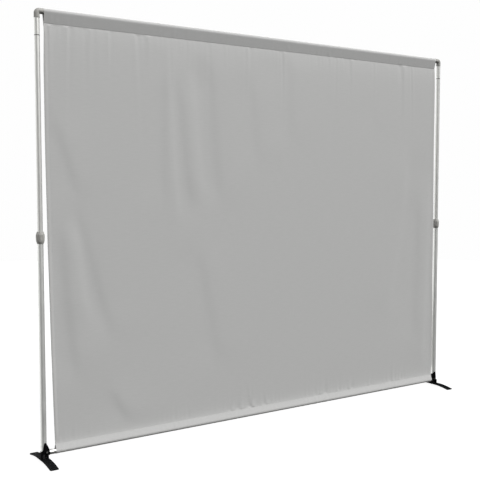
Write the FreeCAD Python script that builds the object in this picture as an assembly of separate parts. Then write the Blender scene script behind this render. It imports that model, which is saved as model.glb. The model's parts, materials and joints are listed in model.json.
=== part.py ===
import FreeCAD, Part
import math
import os

# Fabric backdrop stand: two telescopic poles on arched feet, two cross bars and one stretched cloth.
# Millimetres, +Z up, +X along the width, the front faces -Y.
# The origin is on the floor, midway between the poles.

# The whole stand
pole_spacing = 3050.0
top_bar_height = 2422.5
bottom_bar_height = 48.0

# Clearances
slip_gap = 0.1
running_gap = 0.08
cloth_gap = 0.3

# Foot: an arched strip of steel under each pole
foot_length = 330.0
foot_width = 48.0
foot_thickness = 5.0
foot_rise = 14.0
foot_lip = 13.0
foot_crown_length = 64.0
foot_corner_radius = 8.0
foot_top = foot_rise + foot_thickness

# Foot screws, driven up from below
foot_screw_radius = 2.5
foot_screw_spacing = 35.0
foot_screw_reach = 12.0
foot_screw_head_radius = 4.6
foot_screw_head_height = 2.8
screw_recess_radius = 1.5
screw_recess_depth = 1.5

# Poles: the upper tube slides in the lower one
upper_tube_radius = 14.0
upper_tube_wall = 1.2
telescope_gap = 0.8
lower_tube_wall = 1.2
lower_tube_top = 1224.0
tube_overlap = 134.0
upper_bore = upper_tube_radius - upper_tube_wall
lower_bore = upper_tube_radius + telescope_gap
lower_tube_radius = lower_bore + lower_tube_wall
upper_tube_bottom = lower_tube_top - tube_overlap

# Cross bars, each in three push fit sections cut from the same stock as the upper tubes
bar_radius = upper_tube_radius
bar_wall = upper_tube_wall
bar_joint_place = 470.0
bar_spigot_reach = 60.0
bar_spigot_wall = 3.2
bar_bore = bar_radius - bar_wall

# Base bracket: the black moulding that holds the pole and the bottom bar
socket_wall = 2.4
socket_depth = 12.0
socket_floor = 5.0
window_sill = 1.5
window_height = 20.5
window_foot_width = 26.0
window_head_width = 20.0
pedestal_outer_margin = 3.5
pedestal_inner_margin = 5.5
pedestal_height = 25.0
pedestal_corner_radius = 7.0
shell_rise = 48.0
shell_foot_reach = 16.2
shell_waist_reach = 10.0
shell_waist_rise = 8.0
shell_head_reach = 2.5
shell_head_width = 11.0
shell_head_drop = 17.0
bar_boss_wall = 2.6
bar_boss_bite = 0.5
bar_boss_length = 12.0
gusset_thickness = 20.0
gusset_shoulder = 0.5
bar_spigot_length = 42.0
spigot_chamfer = 1.5
socket_radius = lower_tube_radius + slip_gap
socket_outer_radius = socket_radius + socket_wall
window_bottom = foot_top + window_sill
window_top = window_bottom + window_height
lower_tube_bottom = window_top + socket_floor
socket_top = lower_tube_bottom + socket_depth
shell_top = socket_top + shell_rise
pedestal_top = foot_top + pedestal_height
pedestal_depth = 2 * socket_outer_radius
bar_boss_radius = bar_radius + bar_boss_wall
bar_boss_start = socket_outer_radius - bar_boss_bite
bar_boss_reach = bar_boss_start + bar_boss_length

# Clamp knob: a thumb screw that bears on the lower tube, at the front and a little inwards
knob_angle = 28.0
knob_rise = 8.0
knob_boss_radius = 5.5
knob_boss_proud = 2.5
knob_screw_radius = 2.5
knob_head_radius = 6.5
knob_head_length = 7.0
knob_head_round = 1.2
knob_flute_count = 10
knob_flute_radius = 1.1
knob_height = lower_tube_bottom + knob_rise
knob_boss_reach = socket_outer_radius + knob_boss_proud

# Lower tube plug
tube_plug_height = 6.0
tube_plug_wall = 6.7

# Twist lock: a bush on the lower tube, a split ring round the upper tube and the collar over both
bush_grip_length = 32.0
bush_skirt_wall = 0.9
bush_skirt_height = 12.0
bush_skirt_step = 0.3
bush_thread_wall = 2.3
bush_thread_depth = 0.8
bush_thread_count = 4
bush_shoulder_height = 4.0
grip_ring_height = 22.0
grip_ring_foot_wall = 4.1
grip_ring_head_wall = 2.1
grip_ring_slot = 2.5
collar_bottom_gap = 0.3
collar_head_gap = 1.3
collar_lip_height = 6.0
collar_bore_gap = 0.25
collar_mouth_wall = 2.05
collar_belly_step = 1.8
collar_shoulder_step = 3.5
collar_head_wall = 3.25
collar_flare_height = 17.0
collar_shoulder_drop = 7.0
collar_belly_drop = 18.0
collar_flat_count = 8
collar_flat_radius = 40.0
collar_flat_depth = 1.2
collar_flat_margin = 14.0
bush_bore = lower_tube_radius + slip_gap
bush_bottom = lower_tube_top - bush_grip_length
bush_thread_root_radius = bush_bore + bush_thread_wall
bush_thread_crest_radius = bush_thread_root_radius + bush_thread_depth
grip_bore = upper_tube_radius + running_gap
grip_ring_foot_radius = grip_bore + grip_ring_foot_wall
grip_ring_head_radius = grip_bore + grip_ring_head_wall
grip_ring_bottom = lower_tube_top + bush_shoulder_height
grip_ring_top = grip_ring_bottom + grip_ring_height
collar_bottom = bush_bottom + bush_skirt_height + collar_bottom_gap
collar_thread_bore = bush_thread_crest_radius + collar_bore_gap
collar_mouth_radius = collar_thread_bore + collar_mouth_wall
collar_lip_bottom = grip_ring_top + collar_head_gap
collar_top = collar_lip_bottom + collar_lip_height

# Guide plug in the foot of the upper tube
guide_flange_height = 6.0
guide_plug_length = 22.0
guide_plug_wall = 4.7

# Elbow: the grey corner fitting
elbow_wall = 1.3
elbow_bend_radius = 12.0
elbow_socket_floor = 1.5
elbow_rim_step = 0.5
elbow_rim_length = 4.0
elbow_socket_depth = 19.5
elbow_screw_radius = 1.6
elbow_screw_height = 9.0
elbow_screw_reach = 3.4
elbow_screw_head_radius = 3.2
elbow_screw_head_height = 1.6
elbow_screw_seat = upper_tube_radius + slip_gap + elbow_wall
bar_inset = upper_tube_radius + elbow_socket_floor
elbow_reach = bar_inset + elbow_socket_depth
elbow_bottom = top_bar_height - elbow_reach
stub_top = elbow_bottom + elbow_socket_depth
elbow_screw_place = elbow_bottom + elbow_screw_height

# Joint of the pole under the elbow: a short stub tube on a spigot with a dark ring
stub_show_length = 91.0
joint_ring_step = 0.5
joint_ring_height = 3.0
joint_spigot_reach = 38.0
joint_spigot_wall = 3.7
stub_bottom = elbow_bottom - stub_show_length
upper_tube_top = stub_bottom - joint_ring_height

# Cloth: one stretched panel with a pocket sewn along its top and its bottom
cloth_thickness = 0.8
top_pocket_drop = 59.5
bottom_pocket_rise = 38.0
pocket_stitch_depth = 7.0
top_pocket_left_gap = 0.5
top_pocket_right_gap = 7.0
bottom_pocket_left_gap = 36.0
bottom_pocket_right_gap = 1.0
panel_top_right_flare = 3.0
fold_depth = 3.0
top_pocket_left_inset = elbow_reach + top_pocket_left_gap
top_pocket_right_inset = elbow_reach + top_pocket_right_gap
bottom_pocket_left_inset = bar_boss_reach + bottom_pocket_left_gap
bottom_pocket_right_inset = bar_boss_reach + bottom_pocket_right_gap
panel_top_right_inset = top_pocket_right_inset - panel_top_right_flare
top_seam_height = top_bar_height - top_pocket_drop
bottom_seam_height = bottom_bar_height + bottom_pocket_rise

# Each fold of the panel: where it starts along the top edge, where it starts along the bottom edge, and how
# far it stands forward at the low, middle and high level. A minus sign is a hollow.
fold_shares = (
    (0.000, 0.000, 0.50, 0.50, 0.30),
    (0.031, 0.034, -1.00, -1.00, -0.50),
    (0.058, 0.074, 0.80, 1.00, 0.60),
    (0.092, 0.122, -0.50, -0.40, -0.30),
    (0.190, 0.215, 0.10, 0.30, 0.40),
    (0.227, 0.262, -0.10, -0.50, -0.90),
    (0.257, 0.292, 0.10, 0.60, 1.00),
    (0.281, 0.318, -0.15, -0.60, -0.90),
    (0.306, 0.346, 0.15, 0.50, 0.80),
    (0.335, 0.380, -0.20, -0.40, -0.70),
    (0.395, 0.440, 0.50, 0.50, 0.50),
    (0.670, 0.670, -0.40, -0.50, -0.50),
    (0.860, 0.850, 0.60, 0.80, 0.60),
    (0.925, 0.915, -0.80, -1.00, -0.60),
    (0.965, 0.958, 0.50, 0.70, 0.40),
)
fold_level_shares = (0.25, 0.5, 0.75)

full_turn = 360.0
quarter_turn = 90.0
pole_x = -pole_spacing / 2

origin = FreeCAD.Vector(0, 0, 0)
along_x = FreeCAD.Vector(1, 0, 0)
along_y = FreeCAD.Vector(0, 1, 0)
along_z = FreeCAD.Vector(0, 0, 1)


def save(node, shape):
    shape.exportStep("parts/" + node + ".step")
    print(node, len(shape.Solids), round(shape.Volume), shape.isValid())


def save_pair(node, left_shape):
    """The left piece, and the right one as its mirror image across the middle of the stand."""
    save(node + "_left", left_shape)
    save(node + "_right", left_shape.mirror(origin, along_x))


def at(shape, x, y, z):
    placed = shape.copy()
    placed.translate(FreeCAD.Vector(x, y, z))
    return placed


def turned(profile, sweep=full_turn):
    """A solid of revolution about the Z axis from (radius, height) points."""
    points = [FreeCAD.Vector(radius, 0, height) for radius, height in profile]
    outline = Part.makePolygon(points + points[:1])
    return Part.Face(outline).revolve(origin, along_z, sweep)


def sleeve(inner, outer, bottom, top):
    return turned([(inner, bottom), (outer, bottom), (outer, top), (inner, top)])


def lying(shape):
    """The same shape with its Z axis laid along +X."""
    laid = shape.copy()
    laid.rotate(origin, along_y, quarter_turn)
    return laid


def slab(points, y_low, y_high):
    """A plate across the depth, from points in the XZ plane."""
    corners = [FreeCAD.Vector(x, y_low, z) for x, z in points]
    outline = Part.makePolygon(corners + corners[:1])
    return Part.Face(outline).extrude(FreeCAD.Vector(0, y_high - y_low, 0))


def at_pole(shape):
    return at(shape, pole_x, 0, 0)


def arched_outline():
    """One side view of the foot: flat lips, an arc up to the flat crown, and the same back down."""
    end = foot_length / 2
    lip = end - foot_lip
    crown = foot_crown_length / 2
    run = lip - crown
    radius = (run ** 2 + foot_rise ** 2) / (2 * foot_rise)
    centre_z = foot_rise - radius
    edges = []

    def arc_points(arc_radius, end_angle):
        half = end_angle / 2
        middle = (crown + arc_radius * math.sin(half), centre_z + arc_radius * math.cos(half))
        last = (crown + arc_radius * math.sin(end_angle), centre_z + arc_radius * math.cos(end_angle))
        return middle, last

    under_middle, under_last = arc_points(radius, math.asin(run / radius))
    over_angle = math.acos((foot_thickness - centre_z) / (radius + foot_thickness))
    over_middle, over_last = arc_points(radius + foot_thickness, over_angle)

    def point(y, z):
        return FreeCAD.Vector(0, y, z)

    def line(a, b):
        edges.append(Part.LineSegment(point(*a), point(*b)).toShape())

    def arc(a, b, c):
        edges.append(Part.Arc(point(*a), point(*b), point(*c)).toShape())

    def back(place):
        return (-place[0], place[1])

    line(back((end, 0)), back(under_last))
    arc(back(under_last), back(under_middle), back((crown, foot_rise)))
    line(back((crown, foot_rise)), (crown, foot_rise))
    arc((crown, foot_rise), under_middle, under_last)
    line(under_last, (end, 0))
    line((end, 0), (end, foot_thickness))
    line((end, foot_thickness), over_last)
    arc(over_last, over_middle, (crown, foot_top))
    line((crown, foot_top), back((crown, foot_top)))
    arc(back((crown, foot_top)), back(over_middle), back(over_last))
    line(back(over_last), back((end, foot_thickness)))
    line(back((end, foot_thickness)), back((end, 0)))
    return Part.Wire(edges)


def foot_screw_places():
    return (-foot_screw_spacing / 2, foot_screw_spacing / 2)


def make_foot():
    strip = Part.Face(arched_outline()).extrude(FreeCAD.Vector(foot_width, 0, 0))
    strip = at(strip, -foot_width / 2, 0, 0)
    corners = []
    for edge in strip.Edges:
        first, last = edge.Vertexes[0].Point, edge.Vertexes[-1].Point
        upright = abs(first.x - last.x) < slip_gap and abs(first.y - last.y) < slip_gap
        if upright and abs(abs(first.y) - foot_length / 2) < slip_gap:
            corners.append(edge)
    strip = strip.makeFillet(foot_corner_radius, corners)
    for x in foot_screw_places():
        hole = Part.makeCylinder(foot_screw_radius + slip_gap, foot_top, FreeCAD.Vector(x, 0, 0))
        strip = strip.cut(hole)
    return at_pole(strip)


def make_foot_screws():
    """Two pan head screws, heads under the crown of the foot."""
    seat = foot_rise
    tip = foot_top + foot_screw_reach
    head_bottom = seat - foot_screw_head_height
    rim = head_bottom + foot_screw_head_height / 2
    screws = []
    for x in foot_screw_places():
        screw = turned([
            (screw_recess_radius, head_bottom),
            (foot_screw_head_radius - foot_screw_head_height / 2, head_bottom),
            (foot_screw_head_radius, rim),
            (foot_screw_head_radius, seat),
            (foot_screw_radius, seat),
            (foot_screw_radius, tip),
            (0, tip),
            (0, head_bottom + screw_recess_depth),
            (screw_recess_radius, head_bottom + screw_recess_depth),
        ])
        screws.append(at(screw, x, 0, 0))
    return at_pole(Part.makeCompound(screws))


def toward_knob(shape):
    """A shape on the Z axis, laid along the knob's axis at the knob's height."""
    laid = shape.copy()
    laid.rotate(origin, along_x, quarter_turn)
    laid.rotate(origin, along_z, knob_angle)
    return at(laid, 0, 0, knob_height)


def make_pedestal():
    outer_reach = socket_outer_radius + pedestal_outer_margin
    inner_reach = socket_outer_radius + pedestal_inner_margin
    block = Part.makeBox(outer_reach + inner_reach, pedestal_depth, pedestal_height)
    uprights = [edge for edge in block.Edges if abs(edge.tangentAt(edge.FirstParameter).z) > 0]
    block = block.makeFillet(pedestal_corner_radius, uprights)
    return at(block, -outer_reach, -pedestal_depth / 2, foot_top)


def make_shell():
    """The raised part of the socket that hugs the front and inner side of the pole, drawn to a point."""
    inner = socket_radius - running_gap
    sweep = 2 * quarter_turn
    head_start = -shell_head_reach
    head_end = head_start + shell_head_width
    shell = turned([
        (inner, pedestal_top),
        (socket_outer_radius, pedestal_top),
        (socket_outer_radius, shell_top - socket_wall),
        (socket_outer_radius - socket_wall / 2, shell_top),
        (inner, shell_top),
    ], sweep)
    shell.rotate(origin, along_z, -sweep)
    outer_slope = slab([
        (-shell_foot_reach, socket_top),
        (-shell_waist_reach, socket_top + shell_waist_rise),
        (head_start, shell_top),
        (head_start, shell_top + slip_gap),
        (-pedestal_depth, shell_top + slip_gap),
        (-pedestal_depth, socket_top),
    ], -pedestal_depth, pedestal_depth)
    inner_slope = slab([
        (head_end, shell_top),
        (socket_outer_radius, shell_top - shell_head_drop),
        (pedestal_depth, shell_top - shell_head_drop),
        (pedestal_depth, shell_top + slip_gap),
        (head_end, shell_top + slip_gap),
    ], -pedestal_depth, pedestal_depth)
    return shell.cut(outer_slope).cut(inner_slope)


def make_gusset():
    """The sloping rib from the shell down to the bar boss."""
    inner = socket_radius - running_gap
    top = shell_top - shell_head_drop
    return slab([
        (inner, bottom_bar_height),
        (bar_boss_reach, bottom_bar_height),
        (bar_boss_reach, bottom_bar_height + bar_boss_radius),
        (socket_outer_radius + gusset_shoulder, top),
        (inner, top),
    ], -gusset_thickness / 2, gusset_thickness / 2)


def make_bar_spigot():
    """The stub on the bracket that plugs into the end of the bottom bar."""
    radius = bar_bore - slip_gap
    end = bar_boss_reach + bar_spigot_length
    spigot = turned([
        (0, bar_boss_start),
        (radius, bar_boss_start),
        (radius, end - spigot_chamfer),
        (radius - spigot_chamfer, end),
        (0, end),
    ])
    return at(lying(spigot), 0, 0, bottom_bar_height)


def make_window():
    """The see-through tunnel from front to back under the pole."""
    return slab([
        (-window_foot_width / 2, window_bottom),
        (window_foot_width / 2, window_bottom),
        (window_head_width / 2, window_top),
        (-window_head_width / 2, window_top),
    ], -pedestal_depth, pedestal_depth)


def make_bracket():
    socket_start = FreeCAD.Vector(0, 0, window_top)
    socket = Part.makeCylinder(socket_outer_radius, socket_top - window_top, socket_start)
    boss_start = FreeCAD.Vector(bar_boss_start, 0, bottom_bar_height)
    bar_boss = Part.makeCylinder(bar_boss_radius, bar_boss_length, boss_start, along_x)
    web = Part.makeBox(bar_boss_length, pedestal_depth / 2, pedestal_height)
    web = at(web, bar_boss_start - bar_boss_length / 2, -pedestal_depth / 4, foot_top)
    knob_boss = toward_knob(Part.makeCylinder(knob_boss_radius, knob_boss_reach))
    solid = make_pedestal().multiFuse([socket, bar_boss, web, make_gusset(), knob_boss, make_shell()])

    bore_start = FreeCAD.Vector(0, 0, lower_tube_bottom)
    bore_depth = shell_top - lower_tube_bottom + slip_gap
    solid = solid.cut(Part.makeCylinder(socket_radius, bore_depth, bore_start))
    solid = solid.cut(make_window())
    knob_bore = knob_screw_radius + running_gap
    solid = solid.cut(toward_knob(Part.makeCylinder(knob_bore, knob_boss_reach + slip_gap)))
    for x in foot_screw_places():
        place = FreeCAD.Vector(x, 0, foot_top)
        screw_bore = foot_screw_radius + slip_gap
        solid = solid.cut(Part.makeCylinder(screw_bore, foot_screw_reach + slip_gap, place))
    return at_pole(solid.fuse(make_bar_spigot()).removeSplitter())


def make_knob():
    """A fluted thumb screw whose tip bears on the lower tube."""
    tip = lower_tube_radius + slip_gap
    seat = knob_boss_reach + slip_gap
    end = seat + knob_head_length
    knob = turned([
        (0, tip),
        (knob_screw_radius, tip),
        (knob_screw_radius, seat),
        (knob_head_radius - knob_head_round / 2, seat),
        (knob_head_radius, seat + knob_head_round / 2),
        (knob_head_radius, end - knob_head_round),
        (knob_head_radius - knob_head_round, end),
        (0, end),
    ])
    for index in range(knob_flute_count):
        angle = index * 2 * math.pi / knob_flute_count
        reach = knob_head_radius + knob_flute_radius / 2
        place = FreeCAD.Vector(reach * math.cos(angle), reach * math.sin(angle), seat - slip_gap)
        knob = knob.cut(Part.makeCylinder(knob_flute_radius, knob_head_length + 2 * slip_gap, place))
    return at_pole(toward_knob(knob))


def make_lower_tube():
    return at_pole(sleeve(lower_bore, lower_tube_radius, lower_tube_bottom, lower_tube_top))


def make_tube_plug():
    radius = lower_bore - slip_gap
    top = lower_tube_bottom + tube_plug_height
    return at_pole(sleeve(radius - tube_plug_wall, radius, lower_tube_bottom, top))


def make_lock_bush():
    """A moulded bush over the end of the lower tube: a flared skirt, a thread and the seat of the split ring."""
    skirt_top = bush_bottom + bush_skirt_height
    profile = [
        (bush_bore, bush_bottom),
        (bush_bore + bush_skirt_wall, bush_bottom),
        (collar_mouth_radius - bush_skirt_step, skirt_top),
        (bush_thread_root_radius, skirt_top),
    ]
    pitch = (lower_tube_top - skirt_top) / bush_thread_count
    for index in range(bush_thread_count):
        start = skirt_top + index * pitch
        profile.append((bush_thread_root_radius, start + pitch / 4))
        profile.append((bush_thread_crest_radius, start + pitch / 2))
        profile.append((bush_thread_root_radius, start + pitch * 3 / 4))
    profile += [
        (bush_thread_root_radius, grip_ring_bottom),
        (grip_bore, grip_ring_bottom),
        (grip_bore, lower_tube_top),
        (bush_bore, lower_tube_top),
    ]
    return at_pole(turned(profile))


def make_grip_ring():
    """A tapered ring round the upper tube, split at the back so that it can close."""
    ring = turned([
        (grip_bore, grip_ring_bottom),
        (grip_ring_foot_radius, grip_ring_bottom),
        (grip_ring_head_radius, grip_ring_top),
        (grip_bore, grip_ring_top),
    ])
    slot = Part.makeBox(grip_ring_slot, grip_ring_foot_radius * 2, grip_ring_height * 2)
    return at_pole(ring.cut(at(slot, -grip_ring_slot / 2, 0, grip_ring_bottom - grip_ring_height / 2)))


def make_lock_collar():
    """The twist barrel: a flared mouth, a belly with flats for the fingers and a sloping shoulder."""
    tube_bore = upper_tube_radius + collar_bore_gap
    belly = collar_mouth_radius + collar_belly_step
    collar = turned([
        (collar_thread_bore, collar_bottom),
        (collar_mouth_radius, collar_bottom),
        (belly, collar_bottom + collar_flare_height),
        (belly, collar_top - collar_belly_drop),
        (belly - collar_shoulder_step, collar_top - collar_shoulder_drop),
        (tube_bore + collar_head_wall, collar_top),
        (tube_bore, collar_top),
        (tube_bore, collar_lip_bottom),
        (grip_ring_head_radius + collar_bore_gap, collar_lip_bottom),
        (grip_ring_foot_radius + collar_bore_gap, grip_ring_bottom),
        (collar_thread_bore, grip_ring_bottom),
    ])
    flat_length = collar_top - collar_bottom - collar_flat_margin
    flat_bottom = collar_bottom + collar_flat_margin / 2
    reach = belly + collar_flat_radius - collar_flat_depth
    for index in range(collar_flat_count):
        angle = index * 2 * math.pi / collar_flat_count
        place = FreeCAD.Vector(reach * math.cos(angle), reach * math.sin(angle), flat_bottom)
        collar = collar.cut(Part.makeCylinder(collar_flat_radius, flat_length, place))
    return at_pole(collar)


def make_upper_tube():
    return at_pole(sleeve(upper_bore, upper_tube_radius, upper_tube_bottom, upper_tube_top))


def make_guide_plug():
    """The slider pressed into the foot of the upper tube, whose flange runs in the lower tube."""
    flange_radius = lower_bore - running_gap
    flange_bottom = upper_tube_bottom - guide_flange_height
    radius = upper_bore - slip_gap
    bore = radius - guide_plug_wall
    top = upper_tube_bottom + guide_plug_length
    return at_pole(turned([
        (bore, flange_bottom),
        (flange_radius, flange_bottom),
        (flange_radius, upper_tube_bottom),
        (radius, upper_tube_bottom),
        (radius, top),
        (bore, top),
    ]))


def make_joint_spigot():
    """The spigot between the upper tube and the stub tube, with the ring that shows between them."""
    radius = upper_bore - slip_gap
    bore = radius - joint_spigot_wall
    ring_radius = upper_tube_radius + joint_ring_step
    return at_pole(turned([
        (bore, upper_tube_top - joint_spigot_reach),
        (radius, upper_tube_top - joint_spigot_reach),
        (radius, upper_tube_top),
        (ring_radius, upper_tube_top),
        (ring_radius, stub_bottom),
        (radius, stub_bottom),
        (radius, stub_bottom + joint_spigot_reach),
        (bore, stub_bottom + joint_spigot_reach),
    ]))


def elbow_screw_hole():
    start = FreeCAD.Vector(0, 0, elbow_screw_place)
    return Part.makeCylinder(elbow_screw_radius + slip_gap, elbow_screw_seat * 2, start, along_y)


def make_stub_tube():
    stub = sleeve(upper_bore, upper_tube_radius, stub_bottom, stub_top)
    return at_pole(stub.cut(elbow_screw_hole()))


def elbow_arm(bore):
    """One arm of the elbow from the end of its bend, with the raised rim at its mouth."""
    radius = bore + elbow_wall
    rim_radius = radius + elbow_rim_step
    return turned([
        (0, elbow_bend_radius),
        (radius, elbow_bend_radius),
        (radius, elbow_reach - elbow_rim_length),
        (rim_radius, elbow_reach - elbow_rim_length),
        (rim_radius, elbow_reach),
        (0, elbow_reach),
    ])


def elbow_bend(radius):
    """The quarter bend between the two arms. Its section is cut off at the axis that it turns about."""
    disc = Part.Face(Part.Wire(Part.makeCircle(radius, FreeCAD.Vector(0, 0, -elbow_bend_radius))))
    corner = FreeCAD.Vector(-radius, -radius, -elbow_bend_radius)
    section = disc.common(Part.makePlane(radius + elbow_bend_radius, 2 * radius, corner)).Faces[0]
    return section.revolve(FreeCAD.Vector(elbow_bend_radius, 0, -elbow_bend_radius), along_y, quarter_turn)


def make_elbow():
    """A corner fitting with a rounded bend and two sockets."""
    pole_bore = upper_tube_radius + slip_gap
    bar_mouth_bore = bar_radius + slip_gap
    down = elbow_arm(pole_bore)
    down.rotate(origin, along_y, 2 * quarter_turn)
    bend = elbow_bend(max(pole_bore, bar_mouth_bore) + elbow_wall)
    elbow = at(down.multiFuse([lying(elbow_arm(bar_mouth_bore)), bend]), 0, 0, top_bar_height)
    pole_mouth = FreeCAD.Vector(0, 0, elbow_bottom)
    elbow = elbow.cut(Part.makeCylinder(pole_bore, elbow_socket_depth, pole_mouth))
    bar_mouth = FreeCAD.Vector(bar_inset, 0, top_bar_height)
    elbow = elbow.cut(Part.makeCylinder(bar_mouth_bore, elbow_socket_depth, bar_mouth, along_x))
    return at_pole(elbow.cut(elbow_screw_hole()))


def make_elbow_screw():
    """A self tapping screw at the back of the elbow, through the wall of the stub tube."""
    tip = elbow_screw_seat - elbow_screw_reach
    head_top = elbow_screw_seat + elbow_screw_head_height
    screw = turned([
        (0, tip),
        (elbow_screw_radius, tip),
        (elbow_screw_radius, elbow_screw_seat),
        (elbow_screw_head_radius, elbow_screw_seat),
        (elbow_screw_head_radius - elbow_screw_head_height / 2, head_top),
        (0, head_top),
    ])
    screw.rotate(origin, along_x, -quarter_turn)
    return at_pole(at(screw, 0, 0, elbow_screw_place))


def make_bar_sections(name, height, inset):
    """A cross bar in three sections, each a tube, whose ends meet over the spigots."""
    end = pole_spacing / 2 - inset
    spans = {
        "left": (-end, -bar_joint_place),
        "centre": (-bar_joint_place, bar_joint_place),
        "right": (bar_joint_place, end),
    }
    for side, (start, stop) in spans.items():
        tube = lying(sleeve(bar_bore, bar_radius, start, stop))
        save(name + "_bar_" + side, at(tube, 0, 0, height))
    for side, place in (("left", -bar_joint_place), ("right", bar_joint_place)):
        radius = bar_bore - slip_gap
        bore = radius - bar_spigot_wall
        spigot = sleeve(bore, radius, place - bar_spigot_reach, place + bar_spigot_reach)
        save(name + "_bar_spigot_" + side, at(lying(spigot), 0, 0, height))


def teardrop(radius, half_tip, tip_drop):
    """The pocket's section round a bar at the origin: an arc over the top, then straight sides to a tip."""
    tip_distance = math.hypot(half_tip, tip_drop)
    tip_angle = math.atan2(-tip_drop, half_tip)
    touch_angle = tip_angle + math.acos(radius / tip_distance)
    top_angle = math.pi / 2

    def on_arc(angle, side):
        return FreeCAD.Vector(0, side * radius * math.cos(angle), radius * math.sin(angle))

    middle_angle = (touch_angle + top_angle) / 2
    top = FreeCAD.Vector(0, 0, radius)
    back_tip = FreeCAD.Vector(0, half_tip, -tip_drop)
    front_tip = FreeCAD.Vector(0, -half_tip, -tip_drop)
    edges = [
        Part.LineSegment(back_tip, on_arc(touch_angle, 1)).toShape(),
        Part.Arc(on_arc(touch_angle, 1), on_arc(middle_angle, 1), top).toShape(),
        Part.Arc(top, on_arc(middle_angle, -1), on_arc(touch_angle, -1)).toShape(),
        Part.LineSegment(on_arc(touch_angle, -1), front_tip).toShape(),
        Part.LineSegment(front_tip, back_tip).toShape(),
    ]
    return Part.Wire(edges)


def make_pocket(bar_height, seam_height, left_inset, right_inset):
    """A sleeve of cloth round a bar, drawn to a seam above or below it."""
    drop = abs(bar_height - seam_height)
    inner_radius = bar_radius + cloth_gap
    start = -pole_spacing / 2 + left_inset
    length = pole_spacing - left_inset - right_inset
    outer = teardrop(inner_radius + cloth_thickness, cloth_thickness, drop)
    inner = teardrop(inner_radius, cloth_thickness / 4, drop - pocket_stitch_depth)
    run = FreeCAD.Vector(length, 0, 0)
    pocket = Part.Face(outer).extrude(run).cut(Part.Face(inner).extrude(run))
    if seam_height > bar_height:
        pocket.rotate(origin, along_x, 2 * quarter_turn)
    return at(pocket, start, 0, bar_height)


def panel_section(level_share):
    """The panel's closed section at one level, from its left edge to its right edge and back."""
    low = bottom_seam_height + cloth_gap
    high = top_seam_height - cloth_gap
    height = low + (high - low) * level_share
    left_lean = top_pocket_left_inset - bottom_pocket_left_inset
    left_inset = bottom_pocket_left_inset + left_lean * level_share
    right_lean = panel_top_right_inset - bottom_pocket_right_inset
    right_inset = bottom_pocket_right_inset + right_lean * level_share
    left = -pole_spacing / 2 + left_inset
    width = pole_spacing - left_inset - right_inset
    places = [left + width * (row[1] + (row[0] - row[1]) * level_share) for row in fold_shares]
    places.append(left + width)
    flat = level_share not in fold_level_shares
    level = 0 if flat else fold_level_shares.index(level_share)
    edges = []

    def corner(x, face):
        return FreeCAD.Vector(x, face, height)

    def curve(start, stop, face, depth):
        first, last = corner(start, face), corner(stop, face)
        if flat:
            edges.append(Part.LineSegment(first, last).toShape())
        else:
            edges.append(Part.Arc(first, corner((start + stop) / 2, face - depth), last).toShape())

    depths = [fold_depth * row[2 + level] for row in fold_shares]
    spans = list(zip(places[:-1], places[1:], depths))
    front, back = -cloth_thickness / 2, cloth_thickness / 2
    for start, stop, depth in spans:
        curve(start, stop, front, depth)
    right = places[-1]
    edges.append(Part.LineSegment(corner(right, front), corner(right, back)).toShape())
    for start, stop, depth in reversed(spans):
        curve(stop, start, back, depth)
    edges.append(Part.LineSegment(corner(left, back), corner(left, front)).toShape())
    return Part.Wire(edges)


def make_panel():
    """The stretched cloth between the two seams, with its long soft folds."""
    levels = (0,) + fold_level_shares + (1,)
    return Part.makeLoft([panel_section(level) for level in levels], True, False)


os.makedirs("parts", exist_ok=True)

save_pair("foot", make_foot())
save_pair("foot_screws", make_foot_screws())
save_pair("base_bracket", make_bracket())
save_pair("clamp_knob", make_knob())
save_pair("lower_tube", make_lower_tube())
save_pair("lower_tube_plug", make_tube_plug())
save_pair("lock_bush", make_lock_bush())
save_pair("grip_ring", make_grip_ring())
save_pair("lock_collar", make_lock_collar())
save_pair("upper_tube", make_upper_tube())
save_pair("guide_plug", make_guide_plug())
save_pair("joint_spigot", make_joint_spigot())
save_pair("stub_tube", make_stub_tube())
save_pair("elbow", make_elbow())
save_pair("elbow_screw", make_elbow_screw())
make_bar_sections("top", top_bar_height, bar_inset)
make_bar_sections("bottom", bottom_bar_height, bar_boss_reach)
top_insets = (top_pocket_left_inset, top_pocket_right_inset)
save("banner_top_pocket", make_pocket(top_bar_height, top_seam_height, *top_insets))
bottom_insets = (bottom_pocket_left_inset, bottom_pocket_right_inset)
save("banner_bottom_pocket", make_pocket(bottom_bar_height, bottom_seam_height, *bottom_insets))
save("banner_panel", make_panel())
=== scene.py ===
# %% [markdown]
# Fabric backdrop stand
#
# Two telescopic aluminium poles stand on arched steel feet. A bar joins them at the top and another one just
# above the floor, and a grey polyester cloth is stretched between the bars, which run through pockets sewn
# along its edges. The rigid pieces come finished from the frame and only get their surface here. The cloth is
# modelled here, because its folds, hems and stitches are what makes it look like cloth.

# %% Load the frame
import json
import math

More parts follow.
